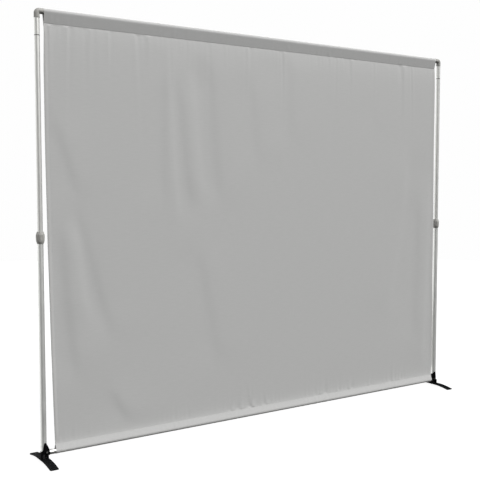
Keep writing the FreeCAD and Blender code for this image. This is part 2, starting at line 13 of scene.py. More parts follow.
import bpy
import numpy as np
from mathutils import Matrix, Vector

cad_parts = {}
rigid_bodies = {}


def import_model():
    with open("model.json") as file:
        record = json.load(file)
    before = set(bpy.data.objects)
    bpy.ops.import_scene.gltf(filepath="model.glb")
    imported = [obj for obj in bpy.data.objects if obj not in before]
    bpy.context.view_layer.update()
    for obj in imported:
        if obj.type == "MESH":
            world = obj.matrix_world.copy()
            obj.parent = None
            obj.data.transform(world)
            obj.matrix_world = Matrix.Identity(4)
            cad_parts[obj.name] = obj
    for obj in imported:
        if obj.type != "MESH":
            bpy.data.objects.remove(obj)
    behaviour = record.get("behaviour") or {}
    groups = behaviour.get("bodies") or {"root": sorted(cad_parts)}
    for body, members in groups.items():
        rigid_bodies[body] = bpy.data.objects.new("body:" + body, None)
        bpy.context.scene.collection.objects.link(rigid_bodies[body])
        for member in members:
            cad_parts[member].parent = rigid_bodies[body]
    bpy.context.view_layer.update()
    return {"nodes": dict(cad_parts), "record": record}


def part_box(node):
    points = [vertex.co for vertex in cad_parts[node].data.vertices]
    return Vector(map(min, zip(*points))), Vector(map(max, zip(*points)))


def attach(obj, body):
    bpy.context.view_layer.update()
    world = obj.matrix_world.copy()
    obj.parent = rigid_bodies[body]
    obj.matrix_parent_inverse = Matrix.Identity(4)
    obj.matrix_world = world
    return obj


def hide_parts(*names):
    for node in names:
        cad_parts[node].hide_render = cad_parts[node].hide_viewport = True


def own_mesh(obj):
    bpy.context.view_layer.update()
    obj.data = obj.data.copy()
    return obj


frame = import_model()
print("pieces in the frame:", len(frame["nodes"]))

# %% [markdown]
# The camera comes first, because everything else is compared through it. Its place and direction were solved
# from the corners of the stand in the photograph. The focal length is kept as the photograph's own, in pixels
# of its frame, and turned into a lens for a sensor of full frame width.

# %% Camera
FRAME_PIXELS = 480
FOCAL_PIXELS = 800.0
SENSOR_WIDTH = 36.0
CAMERA_PLACE = Vector((-3.0171, -4.1513, 1.4927))
CAMERA_YAW = math.radians(33.8131)
CAMERA_PITCH = math.radians(-3.746)


def add_object(name, data):
    """Put a new object with this data into the scene."""
    thing = bpy.data.objects.new(name, data)
    bpy.context.scene.collection.objects.link(thing)
    return thing


def make_camera():
    data = bpy.data.cameras.new("photo_camera")
    data.sensor_width = SENSOR_WIDTH
    data.lens = FOCAL_PIXELS / FRAME_PIXELS * SENSOR_WIDTH
    camera = add_object("photo_camera", data)
    level = math.cos(CAMERA_PITCH)
    forward = Vector((math.sin(CAMERA_YAW) * level, math.cos(CAMERA_YAW) * level, math.sin(CAMERA_PITCH)))
    camera.location = CAMERA_PLACE
    camera.rotation_euler = forward.to_track_quat("-Z", "Y").to_euler()
    bpy.context.scene.camera = camera
    return camera


print("lens in millimetres:", round(make_camera().data.lens, 1))

# %% [markdown]
# Colours are written as they look on a screen, in hex. The shader needs linear light, so one function turns
# them. Node trees are built with one small function that makes a node, sets it and links its inputs.

# %% Colour and node helpers


def linear(hex_colour, alpha=1.0):
    """Linear light from an sRGB hex colour. The numbers are those of the sRGB curve itself."""
    values = [int(hex_colour[place:place + 2], 16) / 255 for place in (1, 3, 5)]
    light = [value / 12.92 if value <= 0.04045 else ((value + 0.055) / 1.055) ** 2.4 for value in values]
    return (*light, alpha)


def add_node(tree, kind, inputs=None, **settings):
    """Add one node. An input is either a value or the output socket of another node."""
    node = tree.nodes.new(kind)
    for name, value in settings.items():
        setattr(node, name, value)
    for name, value in (inputs or {}).items():
        if isinstance(value, bpy.types.NodeSocket):
            tree.links.new(value, node.inputs[name])
        else:
            node.inputs[name].default_value = value
    return node


def new_surface(name, **inputs):
    """A material with one principled shader, and its tree."""
    material = bpy.data.materials.new(name)
    material.use_nodes = True
    tree = material.node_tree
    shader = tree.nodes["Principled BSDF"]
    for socket, value in inputs.items():
        shader.inputs[socket.replace("_", " ")].default_value = value
    return material, tree, shader


def tint(tree, fraction, dark, light):
    """A colour between two hex colours, following a value from zero to one."""
    mixed = add_node(tree, "ShaderNodeMix", {"Factor": fraction}, data_type="RGBA")
    mixed.inputs["A"].default_value = linear(dark)
    mixed.inputs["B"].default_value = linear(light)
    return mixed.outputs["Result"]


MILLIMETRE = 0.001
print("middle grey in linear light:", round(linear("#808080")[0], 3))

# %% [markdown]
# The poles and the cross bars are extruded aluminium tube, anodised in satin silver. Anodising leaves a fine
# grain that runs along the tube, so a highlight spreads sideways and stays even from end to end. A noise that
# is stretched along the tube gives that grain. It moves the roughness and the tone a little.

# %% Anodised aluminium
TUBE_LINE_PITCH = 1.2 * MILLIMETRE  # the real grain is about 0.2 mm apart, too fine to show
TUBE_LINE_STRETCH = 60.0
TUBE_LINE_DEPTH = 0.02 * MILLIMETRE
TUBE_ROUGHNESS_SWING = 0.05
HANDLING_PATCH = 90 * MILLIMETRE


def anodised_aluminium(name, dark, light, roughness, upright):
    """Satin tube. The metal keeps its default IOR, and the grain moves its roughness, tone and relief."""
    material, tree, shader = new_surface(name, Metallic=1.0)
    place = add_node(tree, "ShaderNodeTexCoord").outputs["Object"]
    across, along = 1.0, 1.0 / TUBE_LINE_STRETCH
    scale = (across, across, along) if upright else (along, across, across)
    lines_place = add_node(tree, "ShaderNodeMapping", {"Vector": place, "Scale": scale}).outputs[0]
    lines = add_node(tree, "ShaderNodeTexNoise", {
        "Vector": lines_place, "Scale": 1 / TUBE_LINE_PITCH, "Detail": 3.0, "Roughness": 0.6})
    patches = add_node(tree, "ShaderNodeTexNoise", {
        "Vector": place, "Scale": 1 / HANDLING_PATCH, "Detail": 2.0})
    both = add_node(tree, "ShaderNodeMath", {
        0: lines.outputs["Fac"], 1: patches.outputs["Fac"]}, operation="MULTIPLY")
    spread = add_node(tree, "ShaderNodeMapRange", {
        "Value": both.outputs[0], "From Min": 0.1, "From Max": 0.45,
        "To Min": roughness - TUBE_ROUGHNESS_SWING, "To Max": roughness + TUBE_ROUGHNESS_SWING})
    tree.links.new(spread.outputs["Result"], shader.inputs["Roughness"])
    tree.links.new(tint(tree, lines.outputs["Fac"], dark, light), shader.inputs["Base Color"])
    relief = add_node(tree, "ShaderNodeBump", {
        "Height": lines.outputs["Fac"], "Strength": 0.25, "Distance": TUBE_LINE_DEPTH})
    tree.links.new(relief.outputs["Normal"], shader.inputs["Normal"])
    return material


finishes = {
    "upper_tube_aluminium": anodised_aluminium("anodised_aluminium_upper", "#DCDCD9", "#E6E6E3", 0.6, True),
    "lower_tube_aluminium": anodised_aluminium("anodised_aluminium_lower", "#E6E7E4", "#EFF0ED", 0.58, True),
    "bar_aluminium": anodised_aluminium("anodised_aluminium_bar", "#CFCFCC", "#DADAD7", 0.45, False),
}
print("tube finishes:", sorted(finishes))

# %% [markdown]
# The elbows, collars, knobs and brackets are injection moulded. The mould's spark eroded texture leaves tiny
# pits, which keep the gloss low and break up its edge. Grey pieces are ABS. The black ones are nylon filled
# with glass fibre, whose skin looks a little cloudy. Pits come from a Voronoi texture as bump, and the
# cloudiness is a slow noise.

# %% Moulded plastics
MOULD_PIT = 1.0 * MILLIMETRE  # the real pits are about 0.3 mm across, too fine to show
CLOUD_SIZE = 14 * MILLIMETRE
CLOUD_ROUGHNESS_SWING = 0.06


def moulded_plastic(name, dark, light, roughness, pit_depth, specular=0.5):
    material, tree, shader = new_surface(name, IOR=1.5, Specular_IOR_Level=specular)
    place = add_node(tree, "ShaderNodeTexCoord").outputs["Object"]
    pits = add_node(tree, "ShaderNodeTexVoronoi", {"Vector": place, "Scale": 1 / MOULD_PIT})
    clouds = add_node(tree, "ShaderNodeTexNoise", {
        "Vector": place, "Scale": 1 / CLOUD_SIZE, "Detail": 4.0, "Roughness": 0.55})
    spread = add_node(tree, "ShaderNodeMapRange", {
        "Value": clouds.outputs["Fac"], "From Min": 0.3, "From Max": 0.7,
        "To Min": roughness - CLOUD_ROUGHNESS_SWING, "To Max": roughness + CLOUD_ROUGHNESS_SWING})
    tree.links.new(spread.outputs["Result"], shader.inputs["Roughness"])
    tree.links.new(tint(tree, clouds.outputs["Fac"], dark, light), shader.inputs["Base Color"])
    relief = add_node(tree, "ShaderNodeBump", {
        "Height": pits.outputs["Distance"], "Strength": 0.5, "Distance": pit_depth})
    tree.links.new(relief.outputs["Normal"], shader.inputs["Normal"])
    return material


finishes["grey_plastic"] = moulded_plastic(
    "moulded_grey_abs", "#93928E", "#9D9C98", 0.6, 0.06 * MILLIMETRE)
finishes["knob_plastic"] = moulded_plastic(
    "moulded_dark_grey_abs", "#262624", "#30302E", 0.32, 0.04 * MILLIMETRE)
finishes["black_nylon"] = moulded_plastic(
    "glass_filled_black_nylon", "#060607", "#0C0C0D", 0.6, 0.06 * MILLIMETRE, specular=0.04)
finishes["white_nylon"] = moulded_plastic(
    "natural_white_nylon", "#DDDCD4", "#E8E7E0", 0.45, 0.03 * MILLIMETRE)
print("moulded finishes:", [name for name in finishes if "plastic" in name or "nylon" in name])

# %% [markdown]
# The feet are bent from steel strip and powder coated in black. The powder flows together in the oven into a
# film with shallow waves called orange peel, so reflections wobble. The waves are a noise of their real size,
# and a second noise, stretched along the strip, stands for the scuffs of use.

# %% Powder coated steel
ORANGE_PEEL = 3 * MILLIMETRE
ORANGE_PEEL_DEPTH = 0.08 * MILLIMETRE
SCUFF_LENGTH = 40 * MILLIMETRE
SCUFF_STRETCH = 6.0


def powder_coated_steel(name, dark, light):
    material, tree, shader = new_surface(name, IOR=1.5, Specular_IOR_Level=0.05)
    place = add_node(tree, "ShaderNodeTexCoord").outputs["Object"]
    waves = add_node(tree, "ShaderNodeTexNoise", {"Vector": place, "Scale": 1 / ORANGE_PEEL, "Detail": 1.0})
    scuff_place = add_node(tree, "ShaderNodeMapping", {
        "Vector": place, "Scale": (SCUFF_STRETCH, 1.0, 1.0)}).outputs[0]
    scuffs = add_node(tree, "ShaderNodeTexNoise", {
        "Vector": scuff_place, "Scale": 1 / SCUFF_LENGTH, "Detail": 6.0, "Roughness": 0.7})
    spread = add_node(tree, "ShaderNodeMapRange", {
        "Value": scuffs.outputs["Fac"], "From Min": 0.35, "From Max": 0.75, "To Min": 0.55, "To Max": 0.72})
    tree.links.new(spread.outputs["Result"], shader.inputs["Roughness"])
    tree.links.new(tint(tree, scuffs.outputs["Fac"], dark, light), shader.inputs["Base Color"])
    relief = add_node(tree, "ShaderNodeBump", {
        "Height": waves.outputs["Fac"], "Strength": 0.4, "Distance": ORANGE_PEEL_DEPTH})
    tree.links.new(relief.outputs["Normal"], shader.inputs["Normal"])
    return material


finishes["foot_steel"] = powder_coated_steel("powder_coated_black_steel", "#090A0B", "#101112")
print("foot finish:", finishes["foot_steel"].name)

# %% [markdown]
# The screws are zinc plated steel: bright, a little blue and finely turned. A wave texture in rings gives the
# turning marks, and it only moves the roughness and the tone.

# %% Zinc plated steel
TURNING_PITCH = 0.6 * MILLIMETRE  # the real marks are under 0.1 mm apart, too fine to show
WAVE_PERIOD = 0.314159  # what a wave texture of scale one repeats after


def zinc_plated_steel(name, dark, light):
    material, tree, shader = new_surface(name, Metallic=1.0)
    place = add_node(tree, "ShaderNodeTexCoord").outputs["Object"]
    rings = add_node(tree, "ShaderNodeTexWave", {
        "Vector": place, "Scale": WAVE_PERIOD / TURNING_PITCH, "Distortion": 1.0}, wave_type="RINGS")
    spread = add_node(tree, "ShaderNodeMapRange", {
        "Value": rings.outputs["Fac"], "To Min": 0.25, "To Max": 0.4})
    tree.links.new(spread.outputs["Result"], shader.inputs["Roughness"])
    tree.links.new(tint(tree, rings.outputs["Fac"], dark, light), shader.inputs["Base Color"])
    return material


finishes["screw_steel"] = zinc_plated_steel("zinc_plated_steel", "#B4B8BC", "#C9CCCF")
print("screw finish:", finishes["screw_steel"].name)

# %% [markdown]
# The cloth is woven polyester, dyed grey and left matt. A weave is two sets of threads that cross, so it is
# drawn with two wave textures at right angles, one for each set. The pattern follows the cloth and not the
# room: every point of the sheet carries its own place on the cloth, in metres, and the weave is drawn there.
# Slow noise adds the faint unevenness of a dyed roll. Some sheen stands for the fibre ends that catch light
# at a grazing angle.

# %% Woven polyester
THREAD_PITCH = 1.8 * MILLIMETRE  # the real threads are about 0.5 mm apart, too fine to show
THREAD_RELIEF = 0.1 * MILLIMETRE
SLUB_LENGTH = 60 * MILLIMETRE
SLUB_STRETCH = 12.0
CLOTH_PLACE = "cloth_place"
WEAVE_CONTRAST = 0.2
HAND_WIDTH = 80 * MILLIMETRE


def woven_polyester(name, dark, light):
    material, tree, shader = new_surface(
        name, IOR=1.45, Roughness=0.85, Sheen_Weight=0.12, Sheen_Roughness=0.5)
    place = add_node(tree, "ShaderNodeAttribute", attribute_name=CLOTH_PLACE).outputs["Vector"]
    threads = {"Vector": place, "Scale": WAVE_PERIOD / THREAD_PITCH}
    warp = add_node(tree, "ShaderNodeTexWave", threads, bands_direction="X")
    weft = add_node(tree, "ShaderNodeTexWave", threads, bands_direction="Y")
    weave = add_node(tree, "ShaderNodeMath", {
        0: warp.outputs["Fac"], 1: weft.outputs["Fac"]}, operation="MULTIPLY")
    slub_place = add_node(tree, "ShaderNodeMapping", {
        "Vector": place, "Scale": (1.0, SLUB_STRETCH, 1.0)}).outputs[0]
    slubs = add_node(tree, "ShaderNodeTexNoise", {
        "Vector": slub_place, "Scale": 1 / SLUB_LENGTH, "Detail": 4.0, "Roughness": 0.65})
    tone = add_node(tree, "ShaderNodeMath", {
        0: weave.outputs[0], 1: WEAVE_CONTRAST, 2: slubs.outputs["Fac"]}, operation="MULTIPLY_ADD")
    tree.links.new(tint(tree, tone.outputs[0], dark, light), shader.inputs["Base Color"])
    relief = add_node(tree, "ShaderNodeBump", {
        "Height": weave.outputs[0], "Strength": 0.3, "Distance": THREAD_RELIEF})
    tree.links.new(relief.outputs["Normal"], shader.inputs["Normal"])
    return material


finishes["banner_cloth"] = woven_polyester("woven_grey_polyester", "#A6A6A5", "#B0B0AF")
print("threads across a hand's width:", round(HAND_WIDTH / THREAD_PITCH))

# %% [markdown]
# Every rigid piece is already in the scene. Only its material changes, and the record says which finish each
# takes.

# %% Finish the rigid pieces
SOFT_NODES = ("banner_top_pocket", "banner_bottom_pocket", "banner_panel")
finished = 0
for row in frame["record"]["subparts"]:
    if row["node"] not in SOFT_NODES:
        bpy.data.objects[row["node"]].material_slots[0].material = finishes[row["material_slot"]]
        finished += 1
print("rigid pieces finished:", finished)

# %% [markdown]
# Now the cloth. Its seams lie where the frame's pockets end, and its side edges hang between the poles. The
# left edge is drawn in at the top seam and towards the bottom, where the cloth doesn't reach the bracket. The
# right edge comes closer to its pole from mid height down, and low down it hides the gap. Both edges are
# written as an inset from the axis of their pole, so they follow the frame.

# %% Edges of the cloth
BOTTOM_POCKET, TOP_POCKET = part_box("banner_bottom_pocket"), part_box("banner_top_pocket")
BOTTOM_SEAM, TOP_SEAM = BOTTOM_POCKET[1].z, TOP_POCKET[0].z
POLE_AXIS = (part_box("upper_tube_right")[0].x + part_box("upper_tube_right")[1].x) / 2
LEFT_INSET = 31 * MILLIMETRE
LEFT_SEAM_DRAW = 5 * MILLIMETRE
LEFT_SEAM_REACH = 0.26
LEFT_FOOT_DRAW = 35 * MILLIMETRE
RIGHT_TOP_INSET = 40 * MILLIMETRE
RIGHT_FOOT_INSET = 31 * MILLIMETRE
# share of the height, then how far the edge stands out there in millimetres
RIGHT_BELLY = ((0.0, 5.0), (0.04, 13.2), (0.18, 14.0), (0.34, 6.8), (0.54, 6.0), (0.76, 0.0))


def smooth_step(value):
    held = np.clip(value, 0, 1)
    return held * held * (3 - 2 * held)


def height_share(z):
    return (z - BOTTOM_SEAM) / (TOP_SEAM - BOTTOM_SEAM)


def left_edge(z):
    seam_draw = LEFT_SEAM_DRAW * (1 - smooth_step((TOP_SEAM - z) / LEFT_SEAM_REACH))
    return -POLE_AXIS + LEFT_INSET + seam_draw + LEFT_FOOT_DRAW * (1 - height_share(z)) ** 2


def right_edge(z):
    share = height_share(z)
    straight = RIGHT_FOOT_INSET + (RIGHT_TOP_INSET - RIGHT_FOOT_INSET) * share
    belly = RIGHT_BELLY[0][1] + 0 * share
    for (low, here), (high, there) in zip(RIGHT_BELLY, RIGHT_BELLY[1:]):
        belly = belly + (there - here) * smooth_step((share - low) / (high - low))
    return POLE_AXIS - straight + belly * MILLIMETRE


for end, seam in (("top", TOP_SEAM), ("bottom", BOTTOM_SEAM)):
    print("cloth width at the", end, "seam:", round(right_edge(seam) - left_edge(seam), 3))

# %% [markdown]
# Cloth that is stretched between two bars isn't flat. Long folds run down from where it was creased on its
# roll, and each shows as a light or dark streak, because it tilts the cloth towards the lamp or away. A cloth
# simulation would make folds of its own. These have to lie where the photograph shows them, so each is a line
# on the cloth with a tilt. The tilt fades to both sides, and the cloth swings back to its plane far from the
# line.

# %% Folds of the cloth
FOLD_LINES = (
    # the tilt, which is above zero where the cloth faces right, the width in millimetres,
    # then points of the line as (x, z) in metres, from the top down
    (-0.062, 32, ((-1.43, 1.85), (-1.31, 1.46))),
    (-0.085, 30, ((-1.40, 1.26), (-1.38, 0.90), (-1.33, 0.48))),
    (0.080, 34, ((-1.33, 1.31), (-1.25, 0.77))),
    (-0.056, 36, ((-1.30, 1.34), (-1.20, 0.96), (-1.11, 0.67))),
    (-0.060, 34, ((-1.11, 0.33), (-1.01, 0.13))),
    (0.060, 26, ((-1.46, 1.11), (-1.46, 0.43))),
    (-0.065, 30, ((-0.76, 2.24), (-0.77, 1.46))),
    (0.070, 28, ((-0.73, 2.17), (-0.70, 1.67), (-0.67, 1.33))),
    (-0.070, 28, ((-0.66, 2.06), (-0.63, 1.74), (-0.59, 1.42))),
    (0.060, 34, ((-0.58, 2.19), (-0.51, 1.46))),
    (-0.060, 36, ((-0.45, 2.23), (-0.42, 1.82), (-0.38, 1.43))),
    (-0.045, 40, ((-0.53, 1.10), (-0.39, 0.44))),
    (-0.045, 36, ((-0.14, 2.14), (-0.10, 1.68))),
    (-0.045, 36, ((0.16, 2.36), (0.16, 1.81))),
    (-0.040, 30, ((0.90, 2.03), (0.90, 1.93))),
    (-0.070, 36, ((1.34, 1.38), (1.34, 0.98), (1.32, 0.44))),
    (0.060, 36, ((1.22, 1.71), (1.20, 1.35), (1.06, 0.66))),
    (0.065, 28, ((1.46, 1.53), (1.42, 0.22))),
)
FOLD_STRENGTH = 1.5
FOLD_SWING = 6.0
FOLD_FADE = 0.22
SEAM_CALM = 0.12


def away_from_seams(z, calm):
    return smooth_step(np.minimum(z - BOTTOM_SEAM, TOP_SEAM - z) / calm)


def along_fold(z, low, high):
    """One along the fold. It fades over a stretch that has the fold's end in its middle."""
    return smooth_step((z - low) / FOLD_FADE + 0.5) * smooth_step((high - z) / FOLD_FADE + 0.5)


def fold_depth(x, z):
    """How far the folds move the cloth back, in metres. Less than zero is towards the viewer."""
    depth = np.zeros(np.broadcast(x, z).shape)
    for tilt, width, points in FOLD_LINES:
        heights = [point[1] for point in reversed(points)]
        line = np.interp(z, heights, [point[0] for point in reversed(points)])
        reach = width * MILLIMETRE
        swing = np.tanh((x - line) / reach) - np.tanh((x - line) / (reach * FOLD_SWING))
        depth += FOLD_STRENGTH * tilt * reach * swing * along_fold(z, heights[0], heights[-1])
    return depth * away_from_seams(z, SEAM_CALM)


sample_x, sample_z = np.meshgrid(
    np.linspace(-POLE_AXIS, POLE_AXIS, 300), np.linspace(BOTTOM_SEAM, TOP_SEAM, 200))
fold_samples = fold_depth(sample_x, sample_z) / MILLIMETRE
print("folds in millimetres:", round(float(fold_samples.min()), 1), "to", round(float(fold_samples.max()), 1))

# %% [markdown]
# Close to a seam the thread draws the cloth together, so it puckers in small ripples that die out within a
# hand's width. They are deeper along one stretch of the bottom seam, where the cloth has more to spare. The
# cloth also leaves each seam at a small lean: it comes forward below the top seam and goes back above the
# bottom one, and so it looks bright along both.

# %% Puckers and leans at the seams
PUCKER_WAVES = ((31, 0.4), (47, 2.1), (83, 4.4))  # wavelength in millimetres, phase
PUCKER_SWELLS = ((370, 0.8), (590, 3.0), (960, 5.1))
SWELL_MEAN = 0.6
SWELL_GAIN = 1.1
SWELL_LIMITS = (0.08, 1.5)
PUCKER_HEIGHT = 0.45 * MILLIMETRE
PUCKER_REACH = 25 * MILLIMETRE
DEEP_PUCKER_SPAN = (-0.20, 1.10)
DEEP_PUCKER_FADE = 0.15
DEEP_PUCKER_GAIN = 0.6
TOP_LEAN_DEPTH = 7 * MILLIMETRE
TOP_LEAN_REACH = 70 * MILLIMETRE
BOTTOM_LEAN_DEPTH = 4 * MILLIMETRE
BOTTOM_LEAN_REACH = 20 * MILLIMETRE


def waves(x, lengths):
    each = [np.sin(x / (length * MILLIMETRE) * math.tau + phase) for length, phase in lengths]
    return sum(each) / len(each)


def ripple(x):
    """Short waves that swell and die down along the seam, so that no two hands of it look alike."""
    return waves(x, PUCKER_WAVES) * np.clip(SWELL_MEAN + SWELL_GAIN * waves(x, PUCKER_SWELLS), *SWELL_LIMITS)


def pucker(x, from_seam, strength=1.0):
    rise = np.clip(from_seam, 0, None) / PUCKER_REACH
    return strength * PUCKER_HEIGHT * ripple(x) * rise * np.exp(1 - rise)


def bottom_strength(x):
    """How strong the bottom seam's puckers are: one, and more along the loose stretch."""
    inside = np.minimum(x - DEEP_PUCKER_SPAN[0], DEEP_PUCKER_SPAN[1] - x)
    return 1 + DEEP_PUCKER_GAIN * smooth_step(inside / DEEP_PUCKER_FADE + 1)


def seam_leans(z):
    below_top = np.clip(TOP_SEAM - z, 0, None)
    above_bottom = np.clip(z - BOTTOM_SEAM, 0, None)
    forward = TOP_LEAN_DEPTH * (1 - np.exp(-below_top / TOP_LEAN_REACH)) * height_share(z)
    back = BOTTOM_LEAN_DEPTH * (1 - np.exp(-above_bottom / BOTTOM_LEAN_REACH)) * (1 - height_share(z))
    return back - forward


print("tallest ripple of the top seam in millimetres:", round(float(
    pucker(np.linspace(-POLE_AXIS, POLE_AXIS, 2000), PUCKER_REACH).max()) / MILLIMETRE, 2))

# %% [markdown]
# Streaks start at stitches that pull more than their neighbours. Long ones hang from the top seam, most
# of them in its left half, and short slanting ones stand on the loose part of the bottom seam. They are too
# many and too fine to place one by one, so a seeded random generator places them, the same ones on each run.

# %% Streaks at the seams
STREAK_SEED = 11
STREAK_START = 12 * MILLIMETRE
# sizes are in metres, and a crowding above one draws the streaks to the left end of the span
TOP_STREAKS = dict(
    count=44, span=(-1.49, 1.49), crowding=1.6,
    widths=(0.011, 0.024), lengths=(0.05, 0.22), tilt=0.30, slant=0.04)
BOTTOM_STREAKS = dict(
    count=22, span=(-0.35, 1.20), crowding=1.0,
    widths=(0.011, 0.022), lengths=(0.025, 0.060), tilt=0.36, slant=0.25)


def make_streaks(count, span, crowding, widths, lengths, tilt, slant):
    """Each streak: its place along the seam, its width, its length, its tilt and its slant."""
    chance = np.random.default_rng(STREAK_SEED)
    places = span[0] + (span[1] - span[0]) * chance.uniform(0, 1, count) ** crowding
    ranges = (widths, lengths, (-tilt, tilt), (-slant, slant))
    each = [chance.uniform(low, high, count) for low, high in ranges]
    return list(zip(places, *each))


def streak_depth(x, from_seam, streaks):
    away = np.clip(from_seam, 0, None)
    depth = 0 * x * away
    for place, width, length, tilt, slant in streaks:
        across = (x - place - slant * away) / width
        depth = depth + tilt * width * across * np.exp(-across ** 2) * np.exp(-away / length)
    return depth * smooth_step(away / STREAK_START)


top_streaks, bottom_streaks = make_streaks(**TOP_STREAKS), make_streaks(**BOTTOM_STREAKS)
print("streaks left of the middle of the top seam:", sum(streak[0] < 0 for streak in top_streaks))

# %% [markdown]
# The side hems are stiffer than the cloth, because they are two layers, so each stands forward in a roll.
# The roll swells and sinks down the edge. With it, everything that moves the cloth out of its plane is known,
# and one function adds it up.

# %% Hem rolls and the whole depth
HEM_WIDTH = 30 * MILLIMETRE
HEM_CREST = 8 * MILLIMETRE
HEM_ROLL_WIDTH = 10 * MILLIMETRE
HEM_CALM = 0.05
CHEST_HEIGHT = 1.1
# height in metres, then how far the roll stands forward in millimetres
LEFT_HEM_ROLL = ((0.09, 2.6), (0.25, 3.8), (0.50, 3.6), (1.10, 3.2), (1.60, 1.4), (2.10, 3.0), (2.36, 1.5))
RIGHT_HEM_ROLL = ((0.09, 1.0), (0.50, 2.2), (1.20, 1.6), (1.90, 1.2), (2.36, 0.8))


def hem_roll(from_edge, z, heights):
    swell = np.interp(z, [row[0] for row in heights], [row[1] * MILLIMETRE for row in heights])
    return -swell * np.exp(-((from_edge - HEM_CREST) / HEM_ROLL_WIDTH) ** 2) * away_from_seams(z, HEM_CALM)


def cloth_depth(x, z):
    """Where the middle of the cloth's front layer lies, back from the plane of the seams."""
    depth = fold_depth(x, z) + seam_leans(z)
    depth = depth + streak_depth(x, TOP_SEAM - z, top_streaks)
    depth = depth + streak_depth(x, z - BOTTOM_SEAM, bottom_streaks)
    depth += pucker(x, TOP_SEAM - z) + pucker(x, z - BOTTOM_SEAM, bottom_strength(x))
    depth += hem_roll(x - left_edge(z), z, LEFT_HEM_ROLL)
    return depth + hem_roll(right_edge(z) - x, z, RIGHT_HEM_ROLL)


print("hem roll at chest height in millimetres:", round(float(
    hem_roll(HEM_CREST, np.array(CHEST_HEIGHT), LEFT_HEM_ROLL)) / MILLIMETRE, 1))

# %% [markdown]
# A sheet is a grid of points. One helper turns such a grid into a mesh, keeps each point's place on the cloth
# for the weave, and gives it thickness with a Solidify modifier, so the edges are real edges. Where an open
# edge shows, the grid has an extra row very close to it. Smooth shading turns from the face to the rim within
# that row, and the face stays clean.

# %% Sheet from a grid
CLOTH_THICKNESS = 0.7 * MILLIMETRE
RIM_ROW = 0.2 * MILLIMETRE


def finish_piece(name, mesh, material):
    """An object from a mesh, smooth and in one material."""
    piece = add_object(name, mesh)
    mesh.materials.append(material)
    mesh.shade_smooth()
    return piece


def sheet_from_grid(name, points, places):
    """points is rows by columns by three, and places is rows by columns by two, both in metres."""
    rows, columns = points.shape[:2]
    index = np.arange(rows * columns).reshape(rows, columns)
    corners = [index[:-1, :-1], index[:-1, 1:], index[1:, 1:], index[1:, :-1]]
    faces = np.stack(corners, axis=-1).reshape(-1, 4)
    mesh = bpy.data.meshes.new(name)
    mesh.from_pydata(points.reshape(-1, 3).tolist(), [], faces.tolist())
    attribute = mesh.attributes.new(CLOTH_PLACE, "FLOAT_VECTOR", "POINT")
    flat_places = np.concatenate([places, np.zeros((rows, columns, 1))], axis=-1)
    attribute.data.foreach_set("vector", flat_places.ravel())
    sheet = finish_piece(name, mesh, finishes["banner_cloth"])
    solid = sheet.modifiers.new("thickness", "SOLIDIFY")
    solid.thickness = CLOTH_THICKNESS
    solid.offset = 0
    print(name, "has", len(faces), "faces")
    return sheet


print("the cloth is", round(CLOTH_THICKNESS / MILLIMETRE, 2), "millimetres thick")

# %% [markdown]
# The panel's grid runs round each side edge: it starts at the back with the hem, goes round the fold and
# then across the front. Columns lie close together at the hems and rows at the seams, where the
# shape is fine, and further apart between them.

# %% Cloth panel
HEM_GAP = 1.1 * MILLIMETRE
# places of the columns as shares of the hem's width, from its inner edge outwards and then back in
HEM_BACK_SHARES = (0.8, 0.6, 0.4, 0.2, 0.08)
HEM_FRONT_SHARES = (0.09, 0.17, 0.27, 0.37, 0.47, 0.6, 0.73, 0.87, 1.0, 1.15, 1.33)
FOLD_TURNS = 5
SEAM_TUCK = 4 * MILLIMETRE
COLUMN_STEP = 7 * MILLIMETRE
ROW_STEP = 9 * MILLIMETRE
FINE_ZONE = 60 * MILLIMETRE
FINE_ROWS = 13
FINE_CROWDING = 1.5


def hem_columns():
    """The hem from its inner edge at the back round to the front: (from the edge, behind the front layer)."""
    back = [(HEM_WIDTH, HEM_GAP), (HEM_WIDTH - RIM_ROW, HEM_GAP)]
    back += [(share * HEM_WIDTH, HEM_GAP) for share in HEM_BACK_SHARES]
    radius = HEM_GAP / 2
    angles = [math.pi / 2 - step * math.pi / (FOLD_TURNS - 1) for step in range(FOLD_TURNS)]
    turn = [(radius - radius * math.cos(angle), radius + radius * math.sin(angle)) for angle in angles]
    front = [(share * HEM_WIDTH, 0.0) for share in HEM_FRONT_SHARES]
    return back + turn + front


def panel_rows():
    fine = FINE_ZONE * np.linspace(0, 1, FINE_ROWS) ** FINE_CROWDING
    plain = np.arange(BOTTOM_SEAM + FINE_ZONE + ROW_STEP, TOP_SEAM - FINE_ZONE - ROW_STEP / 2, ROW_STEP)
    return np.concatenate([
        [BOTTOM_SEAM - SEAM_TUCK], BOTTOM_SEAM + fine, plain, TOP_SEAM - fine[::-1], [TOP_SEAM + SEAM_TUCK]])


def panel_grid():
    columns = hem_columns()
    reach = columns[-1][0]
    gaps = [gap for _, gap in columns]
    plain = round((2 * POLE_AXIS) / COLUMN_STEP)
    points, places = [], []
    for z in panel_rows():
        left, right = left_edge(z), right_edge(z)
        left_hem = [left + place for place, _ in columns]
        right_hem = [right - place for place, _ in reversed(columns)]
        middle = np.linspace(left + reach, right - reach, plain)[1:-1]
        x = np.concatenate([left_hem, middle, right_hem])
        behind = np.concatenate([gaps, np.zeros(len(middle)), gaps[::-1]])
        level = np.full(len(x), z)
        along = np.concatenate([[0], np.cumsum(np.hypot(np.diff(x), np.diff(behind)))]) + left
        points.append(np.stack([x, cloth_depth(x, level) + behind, level], axis=-1))
        places.append(np.stack([along, level], axis=-1))
    return np.array(points), np.array(places)


cloth_panel = sheet_from_grid("cloth_panel", *panel_grid())

